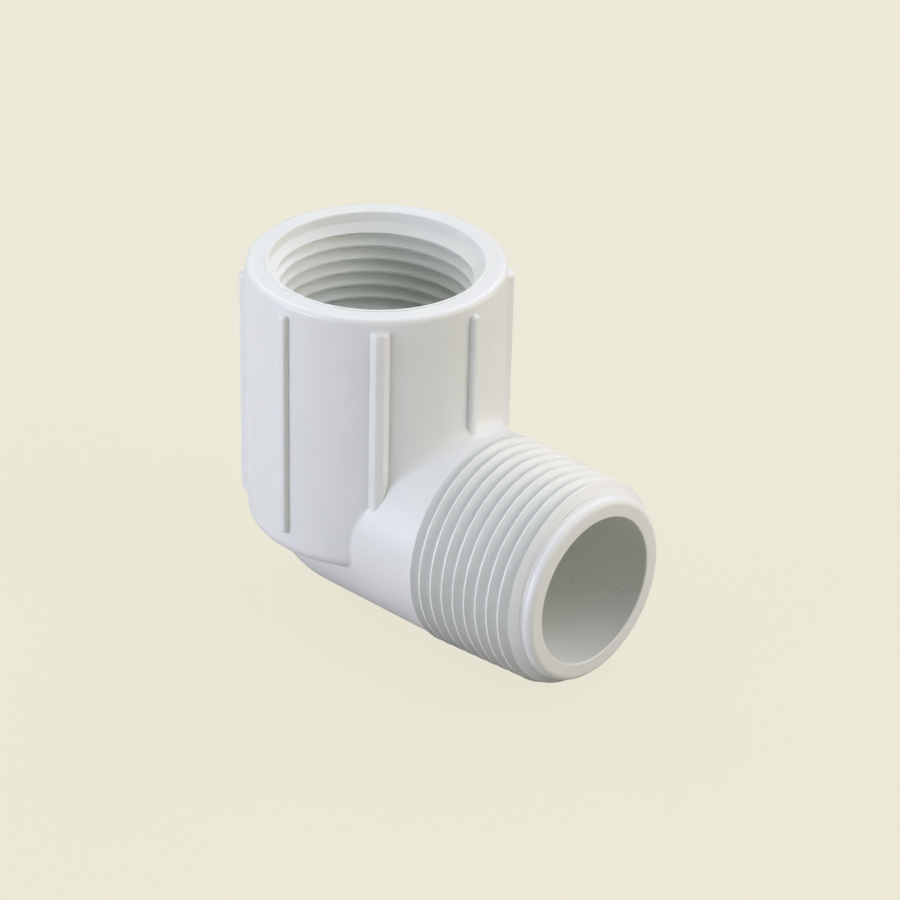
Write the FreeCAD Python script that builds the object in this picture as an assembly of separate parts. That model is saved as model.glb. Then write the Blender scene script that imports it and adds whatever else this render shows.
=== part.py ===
"""A 90 degree street elbow for 1 inch irrigation pipe, injection moulded in PVC.

The elbow is one moulding. A ribbed female socket opens upwards (+Z), a male spigot points along
+X, and both carry a 1-11.5 NPT taper pipe thread. The origin is where the two pipe axes cross.
Lengths are millimetres.
"""
import FreeCAD
import Part

import math
import os

Vector = FreeCAD.Vector
ORIGIN = Vector(0, 0, 0)
X_AXIS = Vector(1, 0, 0)
Y_AXIS = Vector(0, 1, 0)
Z_AXIS = Vector(0, 0, 1)

# ---- taper pipe thread, 1-11.5 NPT ----
PITCH = 25.4 / 11.5
TAPER = 1.0 / 32.0            # change of radius per length: 1 in 16 on diameter
THREAD_DEPTH = 1.52
CREST_FLAT = 0.24
CREST_BEVEL = 0.10            # depth of the softened edge on each side of a crest
ROOT_FLAT = 0.20
FLANK_SLOPE = math.tan(math.radians(30.0))
CREST_OVERSHOOT = 0.03        # how far the bevel reaches past the crest cone
GROOVE_SPARE = 0.6            # how far a groove cutter stands clear of the crest cone

# ---- female socket, along +Z ----
SOCKET_TOP = 39.15            # rim face above the spigot axis
SOCKET_BOTTOM = -4.5
SOCKET_R = 19.95              # at the rim
DRAFT = math.tan(math.radians(0.48))
RIM_ROUND = 0.9
SHOULDER_ROUND = 2.5
MOUTH_R = 16.40               # plain recess that clears the incoming pipe
MOUTH_DEPTH = 1.57
BEAD_WIDTH = 0.60             # fine raised bead round the inner edge of the rim
BEAD_HEIGHT = 0.14
BEAD_ROUND = 0.06
BEAD_BEVEL = 0.15             # bevel on its inner edge
BEAD_ROOT = 0.5               # how far the bead blank reaches inwards, before the mouth is cut
ENTRY_ROUND = 0.2             # corner between the mouth wall and the sloping entry ring
ENTRY_Z = 36.30               # first full section of the female thread
ENTRY_R = 14.80               # crest radius there
FEMALE_THREAD_END = 18.5
RELIEF_R = 14.0               # plain cylinder below the thread
RELIEF_END = 13.0
RELIEF_STEP = 0.5             # short cone between the thread and the relief
RELIEF_ROUND = 1.5
FEMALE_CREST_Z = 34.33        # height of one crest at FEMALE_CREST_ANGLE about +Z
FEMALE_CREST_ANGLE = 130.0
FEMALE_GROOVE_TURNS_BELOW = 7.6   # from there down to the groove's lower end
FEMALE_THREAD_TURNS = 7.85

# ---- waterway and heel ----
WATERWAY_R = 11.82
HEEL_R = 16.38                # sphere round the heel

# ---- grip ribs ----
# The mould opens along Y. Ribs on the X and Y axes keep steep sides. Those between them have sides
# that slope at about 45 degrees, so that they come out of the mould too.
RIB_COUNT = 8
RIB_TOP_WIDTH = 1.25
RIB_PROUD = 0.95
STEEP_SPREAD = 0.12           # widening of each rib side per depth
SLOPED_SPREAD = 0.85
RIB_TOP_Z = 37.3
RIB_BOTTOM_Z = -0.6
RIB_TOP_RUN = 0.25            # height over which a rib rises to its full depth, at each end
RIB_BOTTOM_RUN = 0.8
RIB_CORNER = 0.5              # rounding of its four corners, seen from outside
RIB_ROUND = 0.35              # rounding of its top edge
RIB_ROOT_DEPTH = 1.0          # how far a rib is sunk into the socket wall
RIB_FOOT_DEPTH = 0.1          # depth in the wall where its sides start, as the wall is curved

# ---- male spigot, along +X ----
SPIGOT_LENGTH = 45.72         # nose face from the socket axis
MALE_CREST_R = 16.287         # crest cone produced to the nose face
NECK_END = 23.2
NECK_END_R = 16.65            # the neck widens evenly from the heel's radius to this
NECK_STEP_LENGTH = 0.5        # from the neck out to the thread's crest cone
CHAMFER_START = 42.55
CHAMFER_ROUND = 0.3
NOSE_START = 44.3
NOSE_R = 14.7
NOSE_ROUND = 1.0
NOSE_CORNER_ROUND = 0.2       # concave corner between chamfer and nose
BORE_EDGE_ROUND = 0.15
MALE_CREST_X = 25.22          # place of one crest at MALE_CREST_ANGLE, from +Z towards -Y
MALE_CREST_ANGLE = 60.0
MALE_GROOVE_TURNS_TO_NOSE = 9.5   # from there to the groove's end past the chamfer
MALE_THREAD_TURNS = 10.45
CONE_SPARE = 3.2              # spare length of the cone that the thread is cut in, at each end

# ---- blend between socket wall and neck ----
BLEND_TOP = 2.4
BLEND_SIDE = 0.6

SEAM_STEPS = 12               # steps in which the seam's end points settle
NEAR = 0.05                   # distance under which two corners count as one
CUT_SPARE = 5.0               # how far a cutter stands out of the moulding
HALF_SPACE = 100.0            # half the side of a box that is larger than the moulding


def revolved(edges, axis):
    """Solid of revolution about a main axis from a closed chain of edges."""
    face = Part.Face(Part.Wire(edges))
    return face.revolve(ORIGIN, axis, 360)


def profile_edges(place, corners):
    """Edges of a closed outline given as (along, radius, round) corners.

    place turns (along, radius) into a point. A corner with a round gets an arc of that radius.
    """
    rounded = []
    count = len(corners)
    for index, (along, radius, round_radius) in enumerate(corners):
        here = Vector(along, radius, 0)
        if not round_radius:
            rounded.append((here, here, here))
            continue
        before = Vector(*corners[index - 1][:2], 0)
        after = Vector(*corners[(index + 1) % count][:2], 0)
        to_before = (before - here).normalize()
        to_after = (after - here).normalize()
        half_angle = to_before.getAngle(to_after) / 2
        reach = round_radius / math.tan(half_angle)
        bisector = (to_before + to_after).normalize()
        centre = here + bisector * (round_radius / math.sin(half_angle))
        middle = centre - bisector * round_radius
        rounded.append((here + to_before * reach, middle, here + to_after * reach))
    edges = []
    for index, (start, middle, end) in enumerate(rounded):
        next_start = rounded[(index + 1) % count][0]
        if (end - start).Length > 1e-6:
            edges.append(Part.Arc(place(start), place(middle), place(end)).toShape())
        if (next_start - end).Length > 1e-6:
            edges.append(Part.makeLine(place(end), place(next_start)))
    return edges


def about_z(point):
    """Profile point (height, radius) in the XZ plane."""
    return Vector(point.y, 0, point.x)


def about_x(point):
    """Profile point (distance, radius) in the XZ plane."""
    return Vector(point.x, 0, point.y)


def socket_radius(height):
    """Outer radius of the drafted socket wall."""
    return SOCKET_R - (SOCKET_TOP - height) * DRAFT


def female_crest_radius(height):
    """Radius of the female thread's crest cone."""
    return ENTRY_R - (ENTRY_Z - height) * TAPER


def male_crest_radius(distance):
    """Radius of the male thread's crest cone."""
    return MALE_CREST_R + (SPIGOT_LENGTH - distance) * TAPER


def socket_blank():
    """Outside of the socket with its rim bead, without ribs, as a full solid."""
    bead_top = SOCKET_TOP + BEAD_HEIGHT
    bead_outer = MOUTH_R + BEAD_WIDTH
    corners = [
        (SOCKET_BOTTOM, 0, 0),
        (SOCKET_BOTTOM, socket_radius(SOCKET_BOTTOM), SHOULDER_ROUND),
        (SOCKET_TOP, SOCKET_R, RIM_ROUND),
        (SOCKET_TOP, bead_outer, 0),
        (bead_top, bead_outer, BEAD_ROUND),
        (bead_top, MOUTH_R - BEAD_ROOT, 0),
        (SOCKET_TOP, MOUTH_R - BEAD_ROOT, 0),
        (SOCKET_TOP, 0, 0),
    ]
    return revolved(profile_edges(about_z, corners), Z_AXIS)


def socket_cavity():
    """Space inside the socket: mouth recess, entry cone, thread cone, relief and waterway."""
    entry_slope_start = SOCKET_TOP - MOUTH_DEPTH
    bead_top = SOCKET_TOP + BEAD_HEIGHT
    above = SOCKET_TOP + CUT_SPARE
    thread_end_r = female_crest_radius(FEMALE_THREAD_END)
    corners = [
        (above, 0, 0),
        (above, MOUTH_R + BEAD_BEVEL, 0),
        (bead_top, MOUTH_R + BEAD_BEVEL, 0),
        (bead_top - BEAD_BEVEL, MOUTH_R, 0),
        (entry_slope_start, MOUTH_R, ENTRY_ROUND),
        (ENTRY_Z, ENTRY_R, 0),
        (FEMALE_THREAD_END, thread_end_r, 0),
        (FEMALE_THREAD_END - RELIEF_STEP, RELIEF_R, 0),
        (RELIEF_END, RELIEF_R, RELIEF_ROUND),
        (RELIEF_END - (RELIEF_R - WATERWAY_R), WATERWAY_R, RELIEF_ROUND),
        (0, WATERWAY_R, 0),
        (0, 0, 0),
    ]
    return revolved(profile_edges(about_z, corners), Z_AXIS)


def neck_radius(distance):
    """Radius of the plain neck at a distance from the socket axis."""
    return HEEL_R + (NECK_END_R - HEEL_R) * distance / NECK_END


def neck():
    """Plain neck of the spigot with the ball-shaped heel, as a full solid."""
    plain = Part.makeCone(HEEL_R, NECK_END_R, NECK_END, ORIGIN, X_AXIS)
    return plain.fuse(Part.makeSphere(HEEL_R))


def threaded_end():
    """The spigot beyond its neck: male thread, end chamfer and nose, as a full solid.

    The thread is cut in a plain cone longer than the spigot, which the true outline then trims.
    """
    cone_start = NECK_END + NECK_STEP_LENGTH
    corners = [
        (NECK_END, 0, 0),
        (NECK_END, NECK_END_R, 0),
        (cone_start, male_crest_radius(cone_start), 0),
        (CHAMFER_START, male_crest_radius(CHAMFER_START), CHAMFER_ROUND),
        (NOSE_START, NOSE_R, NOSE_CORNER_ROUND),
        (SPIGOT_LENGTH, NOSE_R, NOSE_ROUND),
        (SPIGOT_LENGTH, 0, 0),
    ]
    outline = revolved(profile_edges(about_x, corners), X_AXIS)
    start = NECK_END - CONE_SPARE
    end = SPIGOT_LENGTH + CONE_SPARE
    cone = Part.makeCone(
        male_crest_radius(start), male_crest_radius(end), end - start, Vector(start, 0, 0), X_AXIS
    )
    return cone.cut(male_thread_groove()).common(outline)


def spigot_bore():
    """Waterway through the spigot, with a ball end at the crossing and a softened mouth."""
    past_nose = SPIGOT_LENGTH + CUT_SPARE
    flare = BORE_EDGE_ROUND
    corners = [
        (0, 0, 0),
        (0, WATERWAY_R, 0),
        (SPIGOT_LENGTH - flare, WATERWAY_R, 0),
        (SPIGOT_LENGTH, WATERWAY_R + flare, 0),
        (past_nose, WATERWAY_R + flare, 0),
        (past_nose, 0, 0),
    ]
    straight = revolved(profile_edges(about_x, corners), X_AXIS)
    return straight.fuse(Part.makeSphere(WATERWAY_R))


def groove_section(outward):
    """Section of one thread groove as (along, away from the crest cone) points.

    outward is +1 where the cutter stands outside the material and -1 where it stands inside.
    """
    half_root = ROOT_FLAT / 2
    half_flank = half_root + (THREAD_DEPTH - CREST_BEVEL) * FLANK_SLOPE
    half_crest = (PITCH - CREST_FLAT) / 2
    half = [
        (half_root, -THREAD_DEPTH),
        (half_flank, -CREST_BEVEL),
        (half_crest, CREST_OVERSHOOT),
        (half_crest, GROOVE_SPARE),
    ]
    mirrored = [(-along, away) for along, away in reversed(half)]
    return [(along, away * outward) for along, away in half + mirrored]


def taper_groove(outward, start_radius, start_height, start_angle, turns):
    """Solid that cuts a right-hand taper groove round +Z, its crest cone widening upwards.

    start_radius is the crest radius at start_height, where the groove's centre starts at
    start_angle in degrees from +X.
    """
    taper_angle = math.degrees(math.atan(TAPER))
    helix = Part.makeHelix(PITCH, PITCH * turns, start_radius, taper_angle)
    corners = [Vector(start_radius + away, 0, along) for along, away in groove_section(outward)]
    section = Part.makePolygon(corners + [corners[0]])
    groove = Part.Wire(helix.Edges).makePipeShell([section], True, True)
    groove.rotate(ORIGIN, Z_AXIS, start_angle)
    groove.translate(Vector(0, 0, start_height))
    return groove


def male_thread_groove():
    """Groove of the male thread. It starts past the nose and ends at the neck.

    It is made round +Z and then laid along -X, so that its heights are distances back from the
    nose and its angles run from +Z towards +Y.
    """
    turns = MALE_THREAD_TURNS
    start_x = MALE_CREST_X - PITCH / 2 + PITCH * MALE_GROOVE_TURNS_TO_NOSE
    start_angle = -MALE_CREST_ANGLE - 360.0 * MALE_GROOVE_TURNS_TO_NOSE
    groove = taper_groove(1, male_crest_radius(start_x), -start_x, start_angle, turns)
    groove.rotate(ORIGIN, Y_AXIS, -90)
    return groove


def female_thread_groove():
    """Groove of the female thread, from the relief up to the entry ring."""
    start_z = FEMALE_CREST_Z + PITCH / 2 - PITCH * FEMALE_GROOVE_TURNS_BELOW
    start_angle = FEMALE_CREST_ANGLE - 360.0 * FEMALE_GROOVE_TURNS_BELOW
    start_radius = female_crest_radius(start_z)
    return taper_groove(-1, start_radius, start_z, start_angle, FEMALE_THREAD_TURNS)


def rib_outline(out, half_width, bottom, top):
    """Outline of a rib, with rounded corners, at a distance out from the socket wall."""
    def place(point):
        return Vector(out, point.y, point.x)

    corners = [
        (bottom, -half_width, RIB_CORNER),
        (bottom, half_width, RIB_CORNER),
        (top, half_width, RIB_CORNER),
        (top, -half_width, RIB_CORNER),
    ]
    return Part.Wire(profile_edges(place, corners))


def rib(spread):
    """One grip rib along the socket wall on the +X side, following the wall's draft.

    Its sides widen by spread per depth, its ends slope, and its top edge is rounded.
    """
    half_top = RIB_TOP_WIDTH / 2
    half_foot = half_top + (RIB_PROUD + RIB_FOOT_DEPTH) * spread
    outlines = [
        rib_outline(-RIB_ROOT_DEPTH, half_foot, RIB_BOTTOM_Z, RIB_TOP_Z),
        rib_outline(-RIB_FOOT_DEPTH, half_foot, RIB_BOTTOM_Z, RIB_TOP_Z),
        rib_outline(RIB_PROUD, half_top, RIB_BOTTOM_Z + RIB_BOTTOM_RUN, RIB_TOP_Z - RIB_TOP_RUN),
    ]
    solid = Part.makeLoft(outlines, True, True)
    top_edges = [edge for edge in solid.Edges if edge.BoundBox.XMin > RIB_PROUD - NEAR]
    solid = solid.makeFillet(RIB_ROUND, top_edges)
    solid.rotate(ORIGIN, Y_AXIS, math.degrees(math.atan(DRAFT)))
    solid.translate(Vector(socket_radius(0), 0, 0))
    return solid


def ribs():
    """All the grip ribs, at even angles. Every second one lies between the X and Y axes."""
    placed = []
    for index in range(RIB_COUNT):
        one = rib(SLOPED_SPREAD if index % 2 else STEEP_SPREAD)
        one.rotate(ORIGIN, Z_AXIS, index * 360.0 / RIB_COUNT)
        placed.append(one)
    return placed


def joins(edge, one, other):
    """True for an edge that runs between two points."""
    ends = [vertex.Point for vertex in edge.Vertexes]
    if len(ends) != 2:
        return False
    straight = (ends[0] - one).Length + (ends[1] - other).Length
    swapped = (ends[1] - one).Length + (ends[0] - other).Length
    return min(straight, swapped) < NEAR


def wall_meets_neck(height):
    """Point on the -Y side where the socket wall crosses the neck.

    Without a height, it is the point on top of the neck.
    """
    distance = SOCKET_R
    for _ in range(SEAM_STEPS):
        radius = neck_radius(distance)
        level = radius if height is None else height
        across = math.sqrt(max(radius ** 2 - level ** 2, 0))
        distance = math.sqrt(socket_radius(level) ** 2 - across ** 2)
    return Vector(distance, -across, level)


def blended_outside():
    """Socket, heel ball and neck as one full solid, blended where wall and neck meet.

    The blend is made on the -Y half, which is then mirrored, so that it is widest on top of the
    neck and narrows evenly down both of its sides.
    """
    outside = socket_blank().fuse(neck()).removeSplitter()
    size = 2 * HALF_SPACE
    corner = Vector(-HALF_SPACE, -HALF_SPACE, -HALF_SPACE)
    half = outside.common(Part.makeBox(size, HALF_SPACE, size, corner))
    top = wall_meets_neck(None)
    side = wall_meets_neck(SOCKET_BOTTOM + SHOULDER_ROUND)
    seam = [edge for edge in half.Edges if joins(edge, top, side)]
    starts_on_top = (seam[0].Vertexes[0].Point - top).Length < NEAR
    radii = (BLEND_TOP, BLEND_SIDE) if starts_on_top else (BLEND_SIDE, BLEND_TOP)
    half = half.makeFillet(*radii, seam)
    return half.fuse(half.mirror(ORIGIN, Y_AXIS)).removeSplitter()


def elbow_body():
    """The whole moulding."""
    body = blended_outside().fuse(ribs()).fuse(threaded_end())
    for cutter in (socket_cavity(), spigot_bore(), female_thread_groove()):
        body = body.cut(cutter)
    return body


def main():
    os.makedirs("parts", exist_ok=True)
    shape = elbow_body()
    solid = shape.Solids[0]
    print("solids", len(shape.Solids), "valid", solid.isValid(), "volume", round(solid.Volume, 1))
    solid.exportStep("parts/elbow_body.step")


main()
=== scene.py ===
"""Studio picture of the white PVC street elbow.

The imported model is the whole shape. This script gives it its moulded-plastic surface and sets up
the floor, the soft studio lights and the camera. Lengths are metres, in the model's own frame:
the origin is where the two pipe axes cross, the socket opens along +Z and the spigot along +X.
"""

import bpy
import math
from mathutils import Matrix, Vector


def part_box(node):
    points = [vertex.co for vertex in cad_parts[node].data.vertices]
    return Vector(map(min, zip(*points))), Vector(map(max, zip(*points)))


MM = 0.001
EVEN = (1, 1, 1)              # no stretch
UNSCALED = 1.0                # for textures whose coordinates are scaled beforehand

# ---- camera ----
VIEW_AZIMUTH = 42.28          # degrees; 0 looks along +Y, 90 along -X
VIEW_ELEVATION = 29.10
VIEW_ROLL = 1.20
CAMERA_DISTANCE = 756.4 * MM  # from the crossing of the pipe axes
CAMERA_RIGHT = 11.76 * MM     # sideways shift of the camera in its own picture plane
CAMERA_UP = 5.45 * MM
CAMERA_NEAR = 10 * MM
CAMERA_FAR = 20.0
FOCAL_LENGTH = 194.7          # mm, on a 36 mm sensor
SENSOR_WIDTH = 36.0

# ---- colours, linear RGB ----
FLOOR_COLOUR = (0.831, 0.807, 0.679)
FLOOR_BOUNCE_COLOUR = (0.39, 0.38, 0.34)
WORLD_COLOUR = (0.84, 0.82, 0.74)
PVC_COLOUR = (0.81, 0.83, 0.785)
PVC_CLOUD_COLOUR = (0.79, 0.812, 0.765)
PVC_STREAK_COLOUR = (0.795, 0.812, 0.77)
SPECK_COLOUR = (0.30, 0.29, 0.24)
LAVENDER = (0.82, 0.82, 1.0)
NEUTRAL = (0.97, 1.0, 0.97)
WARM = (1.0, 0.87, 0.80)
AMBER = (1.0, 0.84, 0.66)

# ---- PVC surface ----
# Grain sizes are in features per millimetre. Details are the finer layers added to the noise.
# Spans are the (low, high) ends of the noise in use.
PVC_ROUGHNESS = (0.36, 0.45)  # glossier and duller patches
PATCH_GRAIN = 0.5
PATCH_DETAIL = 4.0
PATCH_SPAN = (0.3, 0.7)
PVC_IOR = 1.53
GLOW_SHARE = 0.2              # share of the light that travels inside the plastic
GLOW_DEPTH = 0.5 * MM
GLOW_TINT = (1.0, 1.0, 0.9)   # blue light travels a little less far
CLOUD_GRAIN = 0.16
CLOUD_DETAIL = 3.0
CLOUD_SPAN = (0.35, 0.70)
CLOUD_SHARE = 1.0
STREAK_GRAIN = 0.9
STREAK_STRETCH = (1, 1, 0.06)   # streaks run along the socket
STREAK_DETAIL = 2.0
STREAK_SPAN = (0.45, 0.75)
STREAK_SHARE = 0.6
SPECK_SPACING = 3.0 * MM
SPECK_RADIUS = 0.14 * MM
SPECK_SHARE = 0.22            # share of the cells that hold a speck
SPECK_REACH = 12.5 * MM       # distance from the spigot axis; takes in the waterway only
EDGE_SOFTNESS = 0.05 * MM
EDGE_SAMPLES = 6
EDGE_ANGLE = 32               # degrees; sharper corners are shaded as edges
WAVE_GRAIN = 0.22
WAVE_DETAIL = 2.0
WAVE_HEIGHT = 0.012 * MM
SKIN_GRAIN = 3.0
SKIN_DETAIL = 4.0
SKIN_HEIGHT = 0.0012 * MM

# ---- floor and surroundings ----
FLOOR_SIZE = 12.0
FLOOR_EVENNESS = 0.93         # share of the floor's look that shadows don't darken
WORLD_STRENGTH = 0.03

# ---- lights ----
ELBOW_CENTRE = Vector((0.012, 0, 0.012))
LIGHT_DISTANCE = 0.8
LIGHT_SIZE = 0.45
LIGHTS = (                    # name, azimuth, elevation, power in watts, colour
    ("left_low", -60, 5, 6.6, LAVENDER),
    ("left_high", -80, 60, 0.7, NEUTRAL),
    ("left_far", -110, 30, 0.95, NEUTRAL),
    ("right_front", 45, 30, 1.5, NEUTRAL),
    ("right_side", 80, 25, 1.8, WARM),
    ("right_high", 80, 60, 1.55, LAVENDER),
    ("right_low", 100, 5, 1.2, AMBER),
    ("back_left", -150, 45, 1.65, NEUTRAL),
    ("back_right", 150, 45, 3.0, LAVENDER),
)


# ---- shader building blocks ----

def opaque(colour):
    """Colour with full alpha."""
    return (*colour, 1.0)


def new_node(tree, kind, settings):
    """Shader node with some of its inputs set."""
    node = tree.nodes.new(kind)
    for name, value in settings.items():
        node.inputs[name].default_value = value
    return node


def grain(tree, coordinates, scale, stretch, detail):
    """Noise over the moulding, in features per millimetre, stretched along some axes."""
    mapping = new_node(tree, "ShaderNodeMapping", {"Scale": Vector(stretch) * scale / MM})
    noise = new_node(tree, "ShaderNodeTexNoise", {"Scale": UNSCALED, "Detail": detail})
    tree.links.new(coordinates, mapping.inputs["Vector"])
    tree.links.new(mapping.outputs["Vector"], noise.inputs["Vector"])
    return noise.outputs["Fac"]


def remap(tree, value, source, target):
    """Value carried from one (low, high) span to another and held there."""
    node = new_node(tree, "ShaderNodeMapRange", {
        "From Min": source[0], "From Max": source[1], "To Min": target[0], "To Max": target[1],
    })
    tree.links.new(value, node.inputs["Value"])
    return node.outputs["Result"]


def combine(tree, operation, first, second):
    """Sum, product or other result of two values. The second may be a plain number."""
    node = tree.nodes.new("ShaderNodeMath")
    node.operation = operation
    tree.links.new(first, node.inputs[0])
    if isinstance(second, float):
        node.inputs[1].default_value = second
    else:
        tree.links.new(second, node.inputs[1])
    return node.outputs["Value"]


def tint(tree, factor, first, colour):
    """First colour turned towards another by a factor."""
    node = new_node(tree, "ShaderNodeMixRGB", {"Color2": opaque(colour)})
    tree.links.new(factor, node.inputs["Fac"])
    if isinstance(first, tuple):
        node.inputs["Color1"].default_value = opaque(first)
    else:
        tree.links.new(first, node.inputs["Color1"])
    return node.outputs["Color"]


def mix_shaders(tree, first, second):
    """Mix of two shaders. Its factor goes from the first to the second."""
    mix = tree.nodes.new("ShaderNodeMixShader")
    tree.links.new(first.outputs[0], mix.inputs[1])
    tree.links.new(second.outputs[0], mix.inputs[2])
    return mix


# ---- white PVC ----

def near_spigot_axis(tree, coordinates):
    """1 close to the spigot axis, 0 elsewhere."""
    place = tree.nodes.new("ShaderNodeSeparateXYZ")
    tree.links.new(coordinates, place.inputs["Vector"])
    across = combine(tree, "MULTIPLY", place.outputs["Y"], place.outputs["Y"])
    upward = combine(tree, "MULTIPLY", place.outputs["Z"], place.outputs["Z"])
    distance_squared = combine(tree, "ADD", across, upward)
    return combine(tree, "LESS_THAN", distance_squared, SPECK_REACH ** 2)


def specks(tree, coordinates):
    """1 inside a few tiny round specks in the waterway, 0 elsewhere."""
    mapping = new_node(tree, "ShaderNodeMapping", {"Scale": Vector(EVEN) / SPECK_SPACING})
    cells = new_node(tree, "ShaderNodeTexVoronoi", {"Scale": UNSCALED})
    tree.links.new(coordinates, mapping.inputs["Vector"])
    tree.links.new(mapping.outputs["Vector"], cells.inputs["Vector"])
    radius = SPECK_RADIUS / SPECK_SPACING
    near = combine(tree, "LESS_THAN", cells.outputs["Distance"], radius)
    separate = tree.nodes.new("ShaderNodeSeparateColor")
    tree.links.new(cells.outputs["Color"], separate.inputs["Color"])
    chosen = combine(tree, "LESS_THAN", separate.outputs["Red"], SPECK_SHARE)
    placed = combine(tree, "MULTIPLY", chosen, near_spigot_axis(tree, coordinates))
    return combine(tree, "MULTIPLY", near, placed)


def pvc_colour(tree, coordinates):
    """White PVC with faint clouding, flow streaks and a few dark specks in the resin."""
    clouds = grain(tree, coordinates, CLOUD_GRAIN, EVEN, CLOUD_DETAIL)
    cloud = remap(tree, clouds, CLOUD_SPAN, (0.0, CLOUD_SHARE))
    streaks = grain(tree, coordinates, STREAK_GRAIN, STREAK_STRETCH, STREAK_DETAIL)
    streak = remap(tree, streaks, STREAK_SPAN, (0.0, STREAK_SHARE))
    clouded = tint(tree, cloud, PVC_COLOUR, PVC_CLOUD_COLOUR)
    streaked = tint(tree, streak, clouded, PVC_STREAK_COLOUR)
    return tint(tree, specks(tree, coordinates), streaked, SPECK_COLOUR)


def bumps(tree, heights, depth, normal):
    """Surface normal with noise of a given depth added to it."""
    bump = new_node(tree, "ShaderNodeBump", {"Strength": 1.0, "Distance": depth})
    tree.links.new(heights, bump.inputs["Height"])
    tree.links.new(normal, bump.inputs["Normal"])
    return bump.outputs["Normal"]


def pvc_normal(tree, coordinates):
    """Softened edges with the slight unevenness and fine skin of a moulding."""
    bevel = new_node(tree, "ShaderNodeBevel", {"Radius": EDGE_SOFTNESS})
    bevel.samples = EDGE_SAMPLES
    waves = grain(tree, coordinates, WAVE_GRAIN, EVEN, WAVE_DETAIL)
    wavy = bumps(tree, waves, WAVE_HEIGHT, bevel.outputs["Normal"])
    skin = grain(tree, coordinates, SKIN_GRAIN, EVEN, SKIN_DETAIL)
    return bumps(tree, skin, SKIN_HEIGHT, wavy)


def pvc_material():
    """Satin white PVC, as moulded."""
    material = bpy.data.materials.new("white_pvc")
    material.use_nodes = True
    tree = material.node_tree
    shader = tree.nodes["Principled BSDF"]
    coordinates = tree.nodes.new("ShaderNodeTexCoord").outputs["Object"]
    patches = grain(tree, coordinates, PATCH_GRAIN, EVEN, PATCH_DETAIL)
    roughness = remap(tree, patches, PATCH_SPAN, PVC_ROUGHNESS)
    tree.links.new(pvc_colour(tree, coordinates), shader.inputs["Base Color"])
    tree.links.new(roughness, shader.inputs["Roughness"])
    tree.links.new(pvc_normal(tree, coordinates), shader.inputs["Normal"])
    shader.inputs["IOR"].default_value = PVC_IOR
    shader.inputs["Subsurface Weight"].default_value = GLOW_SHARE
    shader.inputs["Subsurface Radius"].default_value = GLOW_TINT
    shader.inputs["Subsurface Scale"].default_value = GLOW_DEPTH
    return material


def finish_body(node):
    """Gives the moulding its material and smooth shading with crisp edges."""
    node.data.materials.clear()
    node.data.materials.append(pvc_material())
    for polygon in node.data.polygons:
        polygon.use_smooth = True
    split = node.modifiers.new("crisp_edges", "EDGE_SPLIT")
    split.split_angle = math.radians(EDGE_ANGLE)


# ---- floor and surroundings ----

def floor_material():
    """Plain pale paper: mostly even to the eye, with a faint shadow, and dull in its bounce."""
    material = bpy.data.materials.new("floor_paper")
    material.use_nodes = True
    tree = material.node_tree
    tree.nodes.clear()
    shadowed = new_node(tree, "ShaderNodeBsdfDiffuse", {"Color": opaque(FLOOR_COLOUR)})
    glow = new_node(tree, "ShaderNodeEmission", {"Color": opaque(FLOOR_COLOUR)})
    seen = mix_shaders(tree, shadowed, glow)
    seen.inputs["Fac"].default_value = FLOOR_EVENNESS
    bounce = new_node(tree, "ShaderNodeBsdfDiffuse", {"Color": opaque(FLOOR_BOUNCE_COLOUR)})
    paper = mix_shaders(tree, bounce, seen)
    path = tree.nodes.new("ShaderNodeLightPath")
    tree.links.new(path.outputs["Is Camera Ray"], paper.inputs["Fac"])
    output = tree.nodes.new("ShaderNodeOutputMaterial")
    tree.links.new(paper.outputs["Shader"], output.inputs["Surface"])
    return material


def add_floor(level):
    """Plain pale floor under the elbow."""
    bpy.ops.mesh.primitive_plane_add(size=FLOOR_SIZE, location=(0, 0, level))
    floor = bpy.context.object
    floor.name = "floor"
    floor.data.materials.append(floor_material())


def set_world():
    """Dim even surroundings."""
    world = bpy.data.worlds.new("studio")
    world.use_nodes = True
    background = world.node_tree.nodes["Background"]
    background.inputs["Color"].default_value = opaque(WORLD_COLOUR)
    background.inputs["Strength"].default_value = WORLD_STRENGTH
    bpy.context.scene.world = world


# ---- camera and lights ----

def camera_axes():
    """Right, up and backward directions of the camera."""
    azimuth = math.radians(VIEW_AZIMUTH)
    elevation = math.radians(VIEW_ELEVATION)
    back = Vector((
        math.sin(azimuth) * math.cos(elevation),
        -math.cos(azimuth) * math.cos(elevation),
        math.sin(elevation),
    ))
    right = Vector((math.cos(azimuth), math.sin(azimuth), 0))
    up = back.cross(right)
    roll = math.radians(VIEW_ROLL)
    rolled_right = right * math.cos(roll) + up * math.sin(roll)
    rolled_up = up * math.cos(roll) - right * math.sin(roll)
    return rolled_right, rolled_up, back


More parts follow.
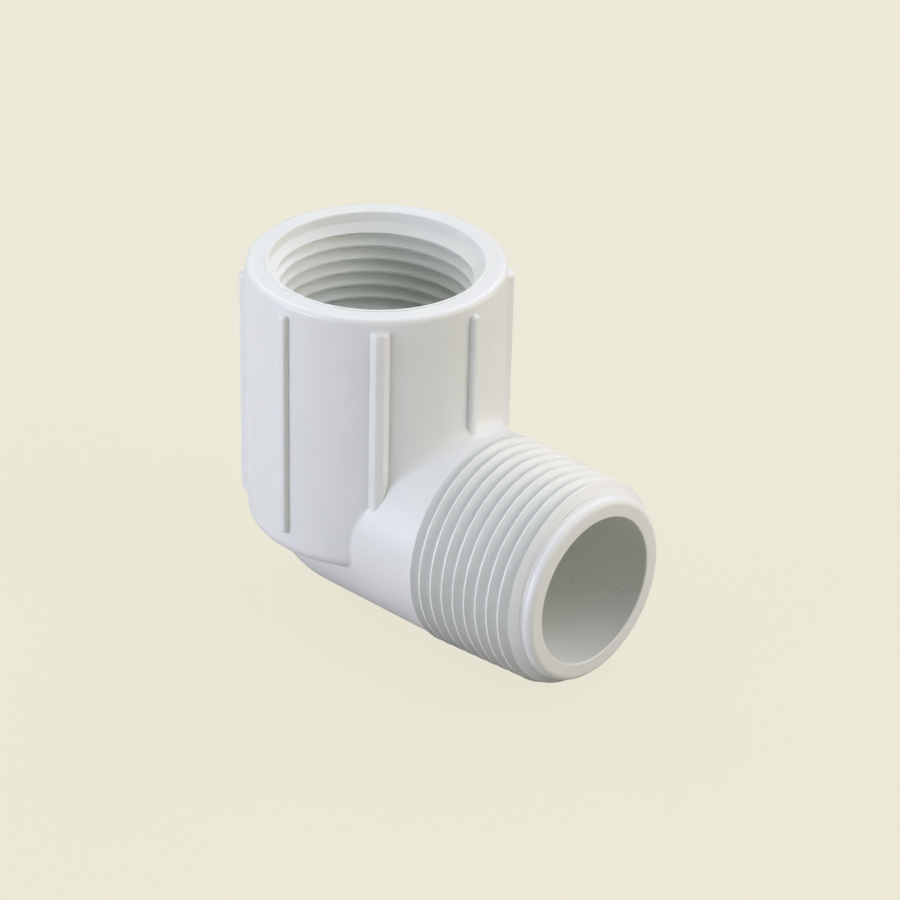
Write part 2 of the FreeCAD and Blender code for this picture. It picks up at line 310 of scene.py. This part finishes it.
def add_camera():
    """Long-lens camera in front of the elbow, to its right and a little above."""
    right, up, back = camera_axes()
    camera = bpy.data.objects.new("camera", bpy.data.cameras.new("camera"))
    camera.data.lens = FOCAL_LENGTH
    camera.data.sensor_width = SENSOR_WIDTH
    camera.data.clip_start = CAMERA_NEAR
    camera.data.clip_end = CAMERA_FAR
    place = back * CAMERA_DISTANCE + right * CAMERA_RIGHT + up * CAMERA_UP
    turn = Matrix((right, up, back)).transposed()
    camera.matrix_world = Matrix.Translation(place) @ turn.to_4x4()
    bpy.context.scene.collection.objects.link(camera)
    bpy.context.scene.camera = camera


def add_area_light(name, place, aim, power, colour):
    """Soft square light at a place, aimed at a point, not seen by the camera."""
    light = bpy.data.lights.new(name, "AREA")
    light.shape = "SQUARE"
    light.size = LIGHT_SIZE
    light.energy = power
    light.color = colour
    lamp = bpy.data.objects.new(name, light)
    lamp.location = place
    lamp.rotation_mode = "QUATERNION"
    lamp.rotation_quaternion = (aim - place).to_track_quat("-Z", "Y")
    lamp.visible_camera = False
    bpy.context.scene.collection.objects.link(lamp)


def light_direction(azimuth, elevation):
    """Direction from the elbow, in degrees. 0 is the camera's side and 90 is to its right."""
    back = camera_axes()[-1]
    towards_camera = Vector((back.x, back.y, 0)).normalized()
    sideways = Vector((0, 0, 1)).cross(towards_camera)
    azimuth = math.radians(azimuth)
    elevation = math.radians(elevation)
    level = towards_camera * math.cos(azimuth) + sideways * math.sin(azimuth)
    return level * math.cos(elevation) + Vector((0, 0, math.sin(elevation)))


def add_lights():
    """Ring of soft lights round the elbow."""
    for name, azimuth, elevation, power, colour in LIGHTS:
        place = ELBOW_CENTRE + light_direction(azimuth, elevation) * LIGHT_DISTANCE
        add_area_light(name, place, ELBOW_CENTRE, power, colour)


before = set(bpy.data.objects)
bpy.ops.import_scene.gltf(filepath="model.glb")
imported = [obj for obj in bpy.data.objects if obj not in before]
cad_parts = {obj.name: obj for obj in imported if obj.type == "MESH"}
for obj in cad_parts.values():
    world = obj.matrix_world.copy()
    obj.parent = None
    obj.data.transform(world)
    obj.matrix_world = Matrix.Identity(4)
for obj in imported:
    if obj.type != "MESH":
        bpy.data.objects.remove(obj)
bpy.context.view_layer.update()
finish_body(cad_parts["elbow_body"])
lowest_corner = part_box("elbow_body")[0]
add_floor(lowest_corner[2])
add_lights()
set_world()
add_camera()
bpy.context.scene.view_settings.view_transform = "Standard"
